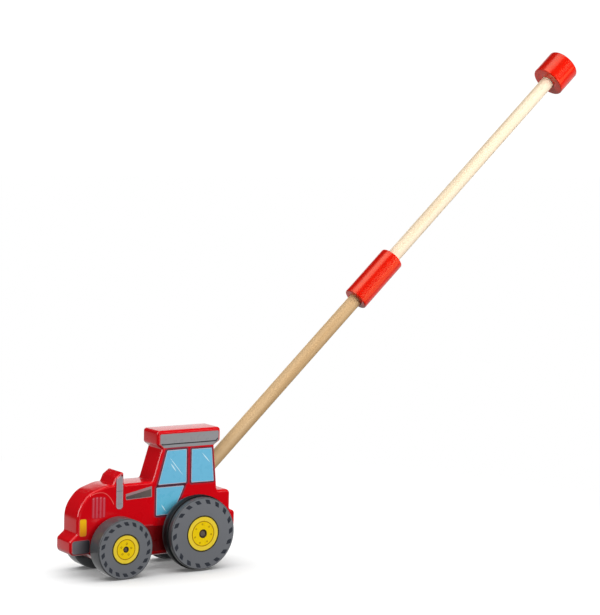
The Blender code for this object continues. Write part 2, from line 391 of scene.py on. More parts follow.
def paint(name, color, roughness=0.3, coat=0.9, shift=0.04, peel=0.000004, gloss=0.1, sheen=(1, 1, 1, 1)):
    """Sprayed lacquer on smooth wood: a faint cloudiness, orange peel, and grain that tells through."""
    s = Surface(name, Coat_Weight=coat, Coat_Roughness=0.05, Specular_IOR_Level=gloss, Specular_Tint=sheen)
    dark = tuple(c * (1 - shift) for c in color)
    pale = tuple(min(1.0, c * (1 + shift)) for c in color)
    s.color(s.ramp(s.noise(22, detail=4), (0.3, dark), (0.7, pale)))
    s.rough(s.spread(s.noise(60, detail=5), roughness * 0.85, roughness * 1.15))
    s.bump(s.noise(260, detail=1), peel, 0.35)
    s.bump(s.noise(150, stretch=(0.1, 1, 1.6), detail=2), peel, 0.25)
    return s.material


def ink(name, color, roughness=0.3, shift=0.02, gradient=None):
    """A screen-printed colour under clear lacquer. gradient is (axis, from_m, to_m, second colour)."""
    s = Surface(name, Coat_Weight=0.5, Coat_Roughness=0.06, Specular_IOR_Level=0.3)
    dark = tuple(c * (1 - shift) for c in color)
    tone = s.ramp(s.noise(90, detail=4), (0.3, dark), (0.7, color))
    if gradient:
        axis, start, end, second = gradient
        split = s.add("ShaderNodeSeparateXYZ")
        s.link(s.place, split.inputs["Vector"])
        t = s.spread(split.outputs[axis], 0.0, 1.0, start, end)
        dark2 = tuple(c * (1 - shift) for c in second)
        tone = s.mix(t, tone, s.ramp(s.noise(90, detail=4), (0.3, dark2), (0.7, second)))
    s.color(tone)
    s.rough(s.spread(s.noise(150, detail=3), roughness * 0.85, roughness * 1.2))
    s.bump(s.noise(260, detail=1), 0.000003, 0.3)
    return s.material


def dowel_wood(name, pale, mid, dark):
    """Bare sanded hardwood with its grain along local Z."""
    s = Surface(name, Specular_IOR_Level=0.15)
    rings = s.noise(95, stretch=(1, 1, 0.035), detail=5, roughness=0.55, distortion=0.4)
    tone = s.ramp(rings, (0.28, dark), (0.46, mid), (0.66, pale))
    streaks = s.noise(420, stretch=(1, 1, 0.02), detail=3, roughness=0.6)
    tone = s.mix(s.spread(streaks, 0.0, 0.1, 0.52, 0.75), tone, tuple(c * 0.75 for c in dark))
    flecks = s.noise(900, stretch=(1, 1, 0.12), detail=2)
    tone = s.mix(s.spread(flecks, 0.0, 0.06, 0.64, 0.74), tone, tuple(c * 0.6 for c in dark))
    clouds = s.noise(9, stretch=(1, 1, 0.5), detail=2)
    tone = s.mix(s.spread(clouds, 0.0, 0.25), tone, dark, "MULTIPLY")
    s.color(tone)
    s.rough(s.spread(streaks, 0.55, 0.7))
    s.bump(streaks, 0.000005, 0.4)
    s.bump(flecks, 0.000003, 0.3)
    return s.material


def steel(name, color, roughness):
    s = Surface(name, Metallic=0.45)
    dull = s.noise(700, detail=5)
    s.color(s.ramp(dull, (0.3, tuple(c * 0.7 for c in color)), (0.7, color)))
    s.rough(s.spread(dull, roughness * 0.8, roughness * 1.25))
    s.bump(s.noise(1600, detail=3), 0.00003, 0.5)
    return s.material


def rubber(name):
    s = Surface(name, Specular_IOR_Level=0.25)
    grime = s.noise(120, detail=6, roughness=0.6)
    s.color(s.ramp(grime, (0.3, (0.003, 0.003, 0.0035)), (0.75, (0.009, 0.009, 0.0095))))
    s.rough(s.spread(grime, 0.45, 0.68))
    s.bump(s.noise(1500, detail=3), 0.00004, 0.7)
    return s.material


RED = paint("red_lacquer", (0.66, 0.0012, 0.0060))
# The body's red lacquer again, more orange, for the sleeve and knob: painted light for the stronger light on
# them, with an orange specular tint that warms their reflections.
LIT_GRIP_RED = paint(
    "red_lacquer_painted_lit", (0.68, 0.006, 0.001), 0.22, 0.2, peel=0.000002, gloss=0.8, sheen=(1, 0.55, 0.28, 1)
)
GREY = paint("grey_lacquer", (0.166, 0.172, 0.186), 0.42, 0.3)
# The wheels' grey again, darker, for the treads and rounded rims: painted shade.
SHADED_TREAD_GREY = paint("grey_lacquer_painted_shade", (0.070, 0.073, 0.078), 0.36, 0.5)
LOWER_WOOD = dowel_wood("bare_beech_lower", (0.70, 0.50, 0.285), (0.64, 0.435, 0.23), (0.55, 0.355, 0.17))
# The same beech as the lower half, paler and less saturated: painted light on the upper half of the pole.
LIT_UPPER_WOOD = dowel_wood("bare_beech_painted_lit_upper", (0.93, 0.80, 0.62), (0.90, 0.75, 0.555), (0.82, 0.65, 0.45))
SPACER_WOOD = dowel_wood("bare_beech_spacer", (0.70, 0.48, 0.28), (0.64, 0.42, 0.23), (0.52, 0.31, 0.16))
STEEL = steel("axle_steel", (0.20, 0.155, 0.125), 0.5)
RUBBER = rubber("black_rubber")

X0, Z0 = ORIGIN.x, ORIGIN.z
INK = {
    "maroon": ink("ink_maroon", (0.085, 0.036, 0.058)),
    "white": ink("ink_pale_border", (0.60, 0.52, 0.60)),
    "frame": ink("ink_frame_red", (0.37, 0.022, 0.042)),
    # The glass turns darker from 90 mm down to 66 mm above the datum, over the door window: painted shade
    # from the rear wheel.
    "glass": ink(
        "ink_sky_blue", (0.17, 0.53, 0.76), 0.28, 0.02, ("Z", Z0 + 0.090, Z0 + 0.066, (0.13, 0.52, 0.72))
    ),
    "glare": ink("ink_glare", (0.62, 0.85, 0.95)),
    "roof": ink("ink_roof_grey", (0.31, 0.305, 0.318)),
    "roof_low": ink("ink_roof_low_grey", (0.34, 0.26, 0.27)),
    "line": ink("ink_dark_line", (0.050, 0.050, 0.055)),
    "pipe": ink("ink_pipe_grey", (0.33, 0.31, 0.33)),
    "pipe_end": ink("ink_pipe_end", (0.46, 0.33, 0.36)),
    "pipe_line": ink("ink_pipe_line", (0.17, 0.16, 0.18)),
    "vent_light": ink("ink_vent_light", (0.36, 0.23, 0.24)),
    "vent_dark": ink(
        "ink_vent_dark", (0.135, 0.105, 0.095), 0.3, 0.05, ("X", X0 + 0.050, X0 + 0.079, (0.10, 0.075, 0.075))
    ),
    "haze": ink("ink_grille_haze", (0.56, 0.008, 0.020)),
    "grille": ink("ink_grille_pink", (0.62, 0.072, 0.100)),
    "grille_top": ink("ink_grille_top", (0.72, 0.16, 0.20)),
    "arc": ink("ink_arc_pink", (0.80, 0.11, 0.10)),
    "lamp": ink(
        "ink_lamp", (0.98, 0.54, 0.006), 0.3, 0.03, ("Z", Z0 + 0.058, Z0 + 0.045, (0.76, 0.26, 0.006))
    ),
    "lamp_edge": ink("ink_lamp_edge", (0.70, 0.22, 0.03)),
    "bumper": ink(
        "ink_bumper", (0.17, 0.155, 0.170), 0.3, 0.05, ("X", X0 + 0.136, X0 + 0.122, (0.050, 0.047, 0.055))
    ),
    "bumper_edge": ink("ink_bumper_edge", (0.36, 0.12, 0.13)),
    "seam_pale": ink("ink_seam_pale", (0.62, 0.07, 0.08)),
    "seam_dark": ink("ink_seam_dark", (0.22, 0.004, 0.008)),
    "yellow": ink("ink_hub_yellow", (0.92, 0.64, 0.004)),
    "pale_yellow": ink("ink_hub_pale_yellow", (0.90, 0.66, 0.045)),
    "orange": ink("ink_hub_orange", (0.42, 0.22, 0.003)),
    "hub_edge": ink("ink_hub_edge", (0.050, 0.042, 0.010)),
    "block": ink("ink_tread_block", (0.034, 0.038, 0.048)),
    # Painted shade: a dark red sheet for the body's side between the wheels, not a print.
    "painted_wheel_shade": ink("ink_painted_shade_dark_red", (0.24, 0.001, 0.003)),
    "bore": ink("ink_bore_ring", (0.040, 0.024, 0.014)),
}


# ---------------------------------------------------------------- body


def make_body():
    """The board: its outline with both rims rounded, and the pole's socket and axle bores cut."""
    steps = 7  # facets across the rounded rim
    normals = outline_normals(BODY_OUTLINE)
    profile = [(0.0, 0.0)]
    for k in range(steps + 1):
        a = math.radians(90 * k / steps)
        profile.append((BODY_EDGE * (1 - math.cos(a)), HALF_BOARD - BODY_EDGE + BODY_EDGE * math.sin(a)))
    profile.append((BODY_EDGE + 0.2, HALF_BOARD))
    bm = bmesh.new()
    loops = []
    for inset, y in [(i, -h) for i, h in profile[:0:-1]] + profile:
        loops.append([
            bm.verts.new(to_frame(p.x - n.x * inset, y, p.y - n.y * inset))
            for p, n in zip(BODY_OUTLINE, normals)
        ])
    count = len(BODY_OUTLINE)
    for a, b in zip(loops, loops[1:]):
        for k in range(count):
            j = (k + 1) % count
            bm.faces.new((a[k], a[j], b[j], b[k]))
    bm.faces.new(loops[0])
    bm.faces.new(loops[-1])
    body = finish_mesh("tractor_board", bm, [RED])
    across = Matrix.Translation((0, 0, -30 * MM))
    cutters = [
        (POLE @ Matrix.Translation((0, 0, -SOCKET_DEPTH * MM)), POLE_RADIUS + POLE_GAP, 2 * SOCKET_DEPTH),
        (along_axle(WHEELBASE, FRONT_AXLE_Z) @ across, AXLE_RADIUS["front"] + GAP, 60),
        (along_axle(0, REAR_AXLE_Z) @ across, AXLE_RADIUS["rear"] + GAP, 60),
    ]
    for matrix, radius, length in cutters:
        cutter = lathe(
            "cutter", [(0, length), (radius, length), (radius, 0), (0, 0)], matrix, [], segments=64
        )
        cut = body.modifiers.new("cut", "BOOLEAN")
        cut.operation = "DIFFERENCE"
        cut.solver = "EXACT"
        cut.object = cutter
        dg = bpy.context.evaluated_depsgraph_get()
        mesh = bpy.data.meshes.new_from_object(body.evaluated_get(dg))
        body.modifiers.clear()
        body.data = mesh
        bpy.data.objects.remove(cutter)
    body.data.shade_smooth()
    body.data.set_sharp_from_angle(angle=math.radians(SHARP))
    body.data.name = "tractor_board"
    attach(body, "tractor")
    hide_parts("tractor_body")
    body.visible_diffuse = False


def stroke(points, width):
    """The outline of a line of even width through points, with round ends."""
    points = [Vector(p) for p in points]
    half = width / 2
    left, right = [], []
    for i, p in enumerate(points):
        d = (points[min(len(points) - 1, i + 1)] - points[max(0, i - 1)]).normalized()
        n = Vector((-d.y, d.x))
        left.append(p + n * half)
        right.append(p - n * half)

    def round_end(last, before):
        d = (last - before).normalized()
        n = Vector((-d.y, d.x))
        return [
            last + half * (n * math.cos(t) + d * math.sin(t))
            for t in (math.pi * k / 6 for k in range(1, 6))
        ]

    return left + round_end(points[-1], points[-2]) + right[::-1] + round_end(points[0], points[1])


def tapered(start, end, width):
    """A pointed streak from start to end."""
    a, b = Vector(start), Vector(end)
    d = b - a
    n = Vector((-d.y, d.x)).normalized()
    return [
        a,
        a + d * 0.35 - n * width / 2,
        a + d * 0.7 - n * width * 0.4,
        b,
        a + d * 0.7 + n * width * 0.4,
        a + d * 0.35 + n * width / 2,
    ]


def smooth_through(points, steps=6):
    """A Catmull-Rom line through points."""
    pts = [Vector(p) for p in points]
    out = []
    for i in range(len(pts) - 1):
        p0 = pts[max(0, i - 1)]
        p1, p2 = pts[i], pts[i + 1]
        p3 = pts[min(len(pts) - 1, i + 2)]
        for k in range(steps):
            t = k / steps
            out.append(
                0.5
                * (
                    2 * p1
                    + (p2 - p0) * t
                    + (2 * p0 - 5 * p1 + 4 * p2 - p3) * t * t
                    + (3 * p1 - p0 - 3 * p2 + p3) * t**3
                )
            )
    out.append(pts[-1])
    return out


LAYER = 0.022  # thickness of one printed layer
SINK = 0.03  # how far a printed film reaches into the paint under it


def film(name, layers, surface, flip, to_world, materials, fine=None):
    """Printed films as thin closed plates. layers are (outline, level, material index)."""
    bm = bmesh.new()
    for outline, level, index in layers:
        piece = bmesh.new()
        verts = [piece.verts.new((p.x, p.y, 0)) for p in anticlockwise(outline)]
        piece.faces.new(verts)
        xs = [p.x for p in outline]
        ys = [p.y for p in outline]
        if fine:
            for axis, values in ((0, xs), (1, ys)):
                k = math.ceil(min(values) / fine)
                while k * fine < max(values):
                    spot = Vector((0, 0, 0))
                    spot[axis] = k * fine
                    normal = Vector((0, 0, 0))
                    normal[axis] = 1
                    everything = piece.verts[:] + piece.edges[:] + piece.faces[:]
                    bmesh.ops.bisect_plane(piece, geom=everything, plane_co=spot, plane_no=normal)
                    k += 1
        piece.verts.index_update()
        up = {}
        down = {}
        for v in piece.verts:
            height = surface(v.co.x, v.co.y)
            up[v.index] = bm.verts.new(to_world(v.co.x, v.co.y, flip * (height + LAYER * level)))
            down[v.index] = bm.verts.new(to_world(v.co.x, v.co.y, flip * (height - SINK)))
        for f in piece.faces:
            ids = [v.index for v in f.verts]
            bm.faces.new([up[i] for i in ids]).material_index = index
            bm.faces.new([down[i] for i in reversed(ids)]).material_index = index
        for e in piece.edges:
            if len(e.link_faces) == 1:
                loop = e.link_loops[0]
                a, b = loop.vert.index, loop.link_loop_next.vert.index
                bm.faces.new([up[b], up[a], down[a], down[b]]).material_index = index
        piece.free()
    return finish_mesh(name, bm, materials)


def print_on_body(name, shapes, fine=None):
    """The same print on both sides of the body. shapes are (outline, level, ink name).

    fine cuts the print into cells of that size, so that it follows the body's rounded edge.
    """
    used = []
    for shape in shapes:
        if shape[2] not in used:
            used.append(shape[2])
    layers = [(outline, level, used.index(key)) for outline, level, key in shapes]
    for side, flip in (("left", 1), ("right", -1)):
        obj = film(
            f"{name}_{side}",
            layers,
            body_surface,
            flip,
            lambda x, z, y: to_frame(x, y, z),
            [INK[key] for key in used],
            fine,
        )
        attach(obj, "tractor")


def framed(corners, pale=0.6, dark=1.3, band=1.3, step=12.0):
    """A pane with a pale border, a dark outline and a dull red band round it, as stacked outlines."""
    pane = anticlockwise(rounded_outline(corners, step))
    return [
        (grown(pane, pale + dark + band), 1, "frame"),
        (grown(pane, pale + dark), 2, "maroon"),
        (grown(pane, pale), 3, "white"),
        (pane, 4, "glass"),
    ]


def make_prints():
    """What is printed on the body's sides, and a painted shade between the wheels, as outlines (x, z, corner
    radius) in their side view.
    """
    r = 0.5
    w1 = [(30.6, 124.0, r), (8.2, 124.2, r), (7.9, 89.7, r), (40.4, 89.5, r)]
    w2 = [(1.0, 123.6, r), (-22.4, 123.5, r), (-25.4, 88.9, r), (0.9, 89.2, r)]
    w3 = [
        (42.6, 85.6, r), (10.6, 85.7, r), (15.3, 75.3, 25),
        (20.9, 64.3, 25), (24.9, 57.4, r), (42.6, 57.4, r),
    ]
    print_on_body("window_front", framed(w1) + [
        (tapered((28.4, 117.6), (11.2, 96.6), 0.9), 5, "glare"),
        (tapered((26.6, 110.8), (19.8, 101.6), 1.5), 5, "glare"),
    ])
    print_on_body("window_rear", framed(w2) + [
        (tapered((-11.0, 119.6), (-21.2, 108.3), 1.2), 5, "glare"),
    ])
    print_on_body("door_window", framed(w3) + [
        (tapered((37.2, 68.2), (31.5, 60.3), 1.1), 5, "glare"),
    ])

    roof = rounded_outline([
        (39.3, 141.6, 0.8), (-30.9, 141.6, 0.8), (-30.9, 131.6, 1.0), (-25.4, 127.5, 1.0),
        (34.2, 127.5, 2.0), (39.3, 132.2, 1.0),
    ])
    crease = [(37.2, 131.5), (35.6, 130.9), (20, 131.1), (-24, 131.2), (-28.0, 132.0), (-29.9, 133.6)]
    print_on_body("roof_panel", [
        (grown(roof, 0.35), 1, "roof_low"),
        (roof, 2, "roof"),
        (stroke(smooth_through(crease), 1.25), 3, "line"),
    ], fine=1.1)

    vent = rounded_outline([(79.4, 82.4, 0.6), (48.6, 88.6, 0.8), (48.4, 77.0, 0.8), (79.0, 76.2, 0.6)])
    dark = rounded_outline([(79.0, 79.6, 0.3), (49.4, 85.6, 0.3), (49.2, 77.6, 0.6), (78.4, 76.8, 0.6)])
    print_on_body("hood_vent", [(vent, 1, "vent_light"), (dark, 2, "vent_dark")])

    pipe = rounded_outline([
        (90.2, 67.4, 3.2), (90.2, 98.8, 1.0), (82.6, 104.4, 1.0), (82.6, 67.4, 3.2),
    ])
    inner = rounded_outline([
        (89.0, 73.4, 0.4), (89.0, 98.2, 0.6), (83.6, 102.2, 0.6), (83.6, 73.4, 0.4),
    ])
    foot = rounded_outline([(89.0, 68.6, 2.4), (89.0, 72.2, 0.3), (83.6, 72.2, 0.3), (83.6, 68.6, 2.4)])
    print_on_body("exhaust_pipe", [
        (grown(pipe, 0.35), 1, "maroon"),
        (pipe, 2, "pipe_end"),
        (inner, 3, "pipe"),
        (foot, 3, "pipe"),
        (stroke([(89.6, 86.0), (83.2, 86.2)], 0.6), 4, "pipe_line"),
        (stroke([(89.0, 72.8), (83.6, 72.8)], 0.5), 4, "pipe_line"),
    ], fine=1.1)

    haze = rounded_outline([(118.6, 59.8, 3.0), (118.6, 82.0, 3.0), (102.4, 82.0, 3.0), (102.4, 59.8, 3.0)])
    bars = [(haze, 1, "haze")]
    for x, low, high in ((116.6, 61.5, 80.8), (112.5, 61.0, 81.2), (108.4, 61.0, 81.0), (104.4, 61.5, 80.2)):
        bars.append((stroke([(x, low), (x - 0.1, high)], 2.1), 2, "grille"))
        bars.append((stroke([(x - 0.6, high - 0.2), (x + 0.6, high - 0.6)], 0.9), 3, "grille_top"))
    bow = smooth_through([
        (118.4, 84.2), (114.6, 85.8), (110.0, 86.3), (105.4, 85.8),
        (101.0, 83.6), (97.2, 79.8), (94.6, 75.8), (93.2, 73.0),
    ])
    bars.append((stroke(bow, 0.75), 2, "arc"))
    print_on_body("nose_grille", bars)

    lamp = rounded_outline([(131.6, 43.0, 1.6), (131.6, 60.0, 1.6), (124.6, 60.0, 1.6), (124.6, 43.0, 1.6)])
    print_on_body("side_lamp", [(grown(lamp, 0.45), 1, "lamp_edge"), (lamp, 2, "lamp")], fine=1.1)

    bumper = rounded_outline([(139.9, 24.6, 2.2), (139.9, 37.8, 2.2), (120.5, 38.2, 2.2), (120.5, 24.6, 2.2)])
    print_on_body("bumper_panel", [
        (grown(bumper, 0.55), 1, "bumper_edge"),
        (bumper, 2, "bumper"),
    ], fine=1.1)

    # Painted shade: a dark red sheet on the side between the wheels, under the printed seam lines.
    painted_wheel_shade = rounded_outline([(76, 19.8, 1.0), (76, 46.0, 1.0), (26, 46.0, 1.0), (26, 19.8, 1.0)])
    print_on_body("seam_print_and_painted_shade", [
        (painted_wheel_shade, 1, "painted_wheel_shade"),
        (stroke([(57.5, 47.0), (50, 46.4), (45, 46.2)], 0.7), 2, "seam_dark"),
        (stroke([(57.5, 48.0), (50, 47.5), (46.5, 47.3)], 0.6), 3, "seam_pale"),
    ])


# ---------------------------------------------------------------- wheels

FACE_DROP = 0.11  # keeps the prints on a wheel's face flush with its full width
HOLE_GAP = 0.25  # between the axle and the print round it


def disc(radius, x, y, count):
    return [
        Vector((x + radius * math.cos(math.tau * k / count), y + radius * math.sin(math.tau * k / count)))
        for k in range(count)
    ]


def annulus(bm, to_world, outer, inner, height, index, count=96):
    """A thin closed ring between inner and outer radius, from SINK under the face to height above it."""
    loops = []
    for radius, level in ((outer, -SINK), (outer, height), (inner, height), (inner, -SINK)):
        loops.append([
            bm.verts.new(to_world(
                radius * math.cos(math.tau * k / count), radius * math.sin(math.tau * k / count), level
            ))
            for k in range(count)
        ])
    for a, b in zip(loops, loops[1:] + loops[:1]):
        for k in range(count):
            j = (k + 1) % count
            bm.faces.new((a[k], a[j], b[j], b[k])).material_index = index


def plate(bm, to_world, outline, height, index):
    """A thin closed plate of that outline."""
    outline = anticlockwise(outline)
    top = [bm.verts.new(to_world(p.x, p.y, height)) for p in outline]
    low = [bm.verts.new(to_world(p.x, p.y, -SINK)) for p in outline]
    bm.faces.new(top).material_index = index
    bm.faces.new(low[::-1]).material_index = index
    for k in range(len(outline)):
        j = (k + 1) % len(outline)
        bm.faces.new((top[k], low[k], low[j], top[j])).material_index = index


HUBS = {
    "front": {
        "radius": 31.4, "yellow": 14.5, "edge": 16.0, "ring": 10.3, "ring_width": 0.9, "bolts": 5,
        "bolt_at": 6.1, "bolt": 1.15, "bolt_turn": -7.0, "bore": 3.2, "block": (24.8, 28.6), "length": 4.8,
        "shift": 2.3, "first": 2.0,
    },
    "rear": {
        "radius": 38.1, "yellow": 17.8, "edge": 19.3, "ring": 13.0, "ring_width": 1.0, "bolts": 7,
        "bolt_at": 10.0, "bolt": 1.0, "bolt_turn": 5.0, "bore": 4.7, "block": (31.7, 36.0), "length": 5.2,
        "shift": 2.5, "first": 13.0,
    },
}


def print_on_wheel(end, side, x, z, flip):
    """Hub and tread blocks on a wheel's outer face."""
    hub = HUBS[end]
    face = HALF_TRACK - FACE_DROP
    keys = ["hub_edge", "yellow", "orange", "bore", "block", "pale_yellow"]
    bm = bmesh.new()

    def to_world(u, v, h):
        return to_frame(x + u, flip * (face + h), z + v)

    hole = AXLE_RADIUS[end] + HOLE_GAP
    half = hub["ring_width"] / 2
    annulus(bm, to_world, hub["edge"], hole, LAYER, 0)
    annulus(bm, to_world, hub["yellow"], hub["ring"] - half, 2 * LAYER, 5)
    annulus(bm, to_world, hub["ring"], hole, 2 * LAYER, 1)
    annulus(bm, to_world, hub["ring"] + half, hub["ring"] - half, 3 * LAYER, 2)
    annulus(bm, to_world, hub["bore"], hole, 3 * LAYER, 3)
    for k in range(hub["bolts"]):
        angle = math.radians(hub["bolt_turn"] + 360 * k / hub["bolts"])
        u, v = hub["bolt_at"] * math.sin(angle), hub["bolt_at"] * math.cos(angle)
        plate(bm, to_world, disc(hub["bolt"], u, v, 20), 3 * LAYER, 2)
        plate(bm, to_world, disc(hub["bolt"] * 0.45, u + 0.1, v + 0.1, 18), 4 * LAYER, 1)
    inner, outer = hub["block"]
    for k in range(18):
        middle = math.radians(hub["first"] + 20 * k)
        corners = []
        for radius, slip in ((outer, 0.0), (inner, hub["shift"])):
            reach = hub["length"] / 2
            for s in (-1, 1):
                angle = middle + (s * reach - slip) / radius
                corners.append(Vector((radius * math.sin(angle), radius * math.cos(angle))))
        a, b, c, d = corners
        loose = [a, b, d, c]
        rounded = rounded_outline([(p.x, p.y, 0.35) for p in anticlockwise(loose)], 30)
        plate(bm, to_world, rounded, LAYER, 4)
    obj = finish_mesh(f"{end}_wheel_print_{side}", bm, [INK[k] for k in keys])
    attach(obj, f"{end}_wheelset")


def make_wheel(end, side, x, z, flip, groove=None):
    """A turned wheel, with heights along the tractor's Y. groove is (floor radius, middle, half width)."""
    radius = HUBS[end]["radius"]
    outer = HALF_TRACK - FACE_DROP
    inner = HALF_TRACK - WHEEL_WIDTH
    bore = AXLE_RADIUS[end] + GAP
    edge = WHEEL_EDGE
    ease = 0.35  # at the bore's and the groove's rims
    n = 6
    profile = [(bore + ease, outer), (radius - edge, outer)]
    profile += arc(radius - edge, outer - edge, edge, 90, 0, n)[1:]
    if groove:
        floor, middle, half = groove
        profile += arc(radius - ease, middle + half + ease, ease, 0, -90, 3)
        profile += [(floor, middle + half), (floor, middle - half)]
        profile += arc(radius - ease, middle - half - ease, ease, 90, 0, 3)
    profile += arc(radius - edge, inner + edge, edge, 0, -90, n)
    profile += [(bore + ease, inner), (bore, inner + ease), (bore, outer - ease)]
    # Everything off the flat face, the tread and both rounded rims, takes the darker grey: painted shade.
    slots = []
    for (_, ha), (_, hb) in zip(profile, profile[1:] + profile[:1]):
        on_face = min(ha, hb) > outer - edge * 0.05
        slots.append(0 if on_face else 1)
    if flip < 0:
        profile = [(r, -h) for r, h in profile][::-1]
        slots = slots[-2::-1] + slots[-1:]
    wheel = lathe(
        f"{end}_wheel_turned_{side}", profile, along_axle(x, z), [GREY, SHADED_TREAD_GREY], 160, SHARP, slots
    )
    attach(wheel, f"{end}_wheelset")
    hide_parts(f"{end}_wheel_{side}")


def make_tyre(side, z, flip):
    """A rubber ring with a slightly crowned tread and a fine mould line."""
    middle = TYRE_MIDDLE
    half, outer, inner = TYRE_WIDTH / 2, TYRE_RADIUS, TYRE_BORE
    edge = 0.9
    profile = arc(inner + 0.4, middle + half - 0.4, 0.4, 180, 90, 3)
    profile += arc(outer - edge - 0.12, middle + half - edge, edge, 90, 8, 6)
    profile += [(outer - 0.02, middle + 0.5), (outer, middle + 0.18)]
    profile += [(outer, middle - 0.18), (outer - 0.02, middle - 0.5)]
    profile += arc(outer - edge - 0.12, middle - half + edge, edge, -8, -90, 6)
    profile += arc(inner + 0.4, middle - half + 0.4, 0.4, 270, 180, 3)
    if flip < 0:
        profile = [(r, -h) for r, h in profile][::-1]
    ring = lathe(f"rear_tyre_ring_{side}", profile, along_axle(0, z), [RUBBER], 160, 40)
    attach(ring, "rear_wheelset")
    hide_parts(f"rear_tyre_{side}")


def make_axle(end, x, z):
    """A cut steel axle with chamfered, faintly dished ends."""
    radius = AXLE_RADIUS[end]
    reach = HALF_TRACK - 0.65
    c = 0.35
    profile = [
        (0, reach - 0.12), (radius * 0.35, reach - 0.10), (radius * 0.7, reach - 0.02), (radius - c, reach),
        (radius - c * 0.3, reach - c * 0.3), (radius, reach - c), (radius, 12), (radius, -12),
        (radius, c - reach), (radius - c * 0.3, c * 0.3 - reach), (radius - c, -reach),
        (radius * 0.7, 0.02 - reach), (radius * 0.35, 0.10 - reach), (0, 0.12 - reach),
    ]
    axle = lathe(f"{end}_axle_rod", profile, along_axle(x, z), [STEEL], 48)
    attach(axle, f"{end}_wheelset")
    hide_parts(f"{end}_axle")


def make_spacer(end, side, x, z, flip):
    """A turned wooden ring between body and wheel, with eased rims."""
    radius = SPACER_RADIUS[end]
    bore = AXLE_RADIUS[end] + GAP
    low = HALF_BOARD + GAP
    high = HALF_TRACK - WHEEL_WIDTH - GAP
    e = 0.5
    profile = arc(radius - e, high - e, e, 90, 0, 4) + arc(radius - e, low + e, e, 0, -90, 4)
    profile += arc(bore + e, low + e, e, -90, -180, 3) + arc(bore + e, high - e, e, 180, 90, 3)
    if flip < 0:
        profile = [(r, -h) for r, h in profile][::-1]
    ring = lathe(f"{end}_spacer_ring_{side}", profile, along_axle(x, z), [SPACER_WOOD], 64, 40)
    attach(ring, f"{end}_wheelset")
    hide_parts(f"{end}_spacer_{side}")


def make_running_gear():
    groove = (TYRE_BORE - GAP, TYRE_MIDDLE, TYRE_WIDTH / 2 + GAP)
    for side, flip in (("left", 1), ("right", -1)):
        make_wheel("front", side, WHEELBASE, FRONT_AXLE_Z, flip)
        make_wheel("rear", side, 0.0, REAR_AXLE_Z, flip, groove)
        print_on_wheel("front", side, WHEELBASE, FRONT_AXLE_Z, flip)
        print_on_wheel("rear", side, 0.0, REAR_AXLE_Z, flip)
        make_tyre(side, REAR_AXLE_Z, flip)
        make_spacer("front", side, WHEELBASE, FRONT_AXLE_Z, flip)
        make_spacer("rear", side, 0.0, REAR_AXLE_Z, flip)
    make_axle("front", WHEELBASE, FRONT_AXLE_Z)
    make_axle("rear", 0.0, REAR_AXLE_Z)


# ---------------------------------------------------------------- pole, sleeve and knob


def turned_on_pole(name, profile, material, node, segments):
    """A piece turned about the pole's axis, in its own frame so that its grain follows the pole."""
    obj = lathe(name, profile, Matrix.Identity(4), [material], segments)
    obj.matrix_world = POLE
    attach(obj, "tractor")
    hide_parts(node)
    return obj


def rod_profile(start, end):
    """A dowel with eased ends and even spans between them."""
    c = 0.6
    r = POLE_RADIUS
    spans = 24
    profile = [(0, end), (r - c, end), (r - c * 0.25, end - c * 0.25), (r, end - c)]
    profile += [(r, end - c - (end - start - 2 * c) * k / spans) for k in range(1, spans)]
    profile += [(r, start + c), (r - c * 0.25, start + c * 0.25), (r - c, start), (0, start)]
    return profile


def make_pole():
    """Both halves of the pole, and the sleeve and knob on it."""
    joint = SLEEVE_START + SLEEVE_LENGTH / 2
    rod = rod_profile(GAP - SOCKET_DEPTH, joint - GAP / 2)
    lower = turned_on_pole("pole_lower_half", rod, LOWER_WOOD, "lower_pole", 64)
    rod = rod_profile(joint + GAP / 2, KNOB_START + KNOB_SOCKET - GAP)
    upper = turned_on_pole("pole_upper_half", rod, LIT_UPPER_WOOD, "upper_pole", 64)
    low, high = SLEEVE_START, SLEEVE_START + SLEEVE_LENGTH
    bore = POLE_RADIUS + POLE_GAP
    e = 1.3
    sleeve = arc(SLEEVE_RADIUS - e, high - e, e, 90, 0, 6)
    for k in range(1, 8):
        sleeve.append((SLEEVE_RADIUS, high - e - (SLEEVE_LENGTH - 2 * e) * k / 8))
    sleeve += arc(SLEEVE_RADIUS - e, low + e, e, 0, -90, 6)
    sleeve += arc(bore + 0.5, low + 0.5, 0.5, -90, -180, 3) + arc(bore + 0.5, high - 0.5, 0.5, 180, 90, 3)
    grip = turned_on_pole("sleeve_turned", sleeve, LIT_GRIP_RED, "pole_sleeve", 96)

    low, high = KNOB_START, KNOB_START + KNOB_LENGTH
    e = 2.0
    knob = [(0, high), (6, high), (12, high)] + arc(KNOB_RADIUS - e, high - e, e, 90, 0, 8)
    for k in range(1, 5):
        knob.append((KNOB_RADIUS, high - e - (KNOB_LENGTH - 2 * e) * k / 5))
    knob += arc(KNOB_RADIUS - 1.2, low + 1.2, 1.2, 0, -90, 6)
    knob += arc(bore + 0.5, low + 0.5, 0.5, -90, -180, 3)
    knob += [(bore, low + KNOB_SOCKET), (0, low + KNOB_SOCKET)]
    handle = turned_on_pole("knob_turned", knob, LIT_GRIP_RED, "handle_knob", 96)
    return [lower, upper, grip, handle]


# ---------------------------------------------------------------- camera, floor and light


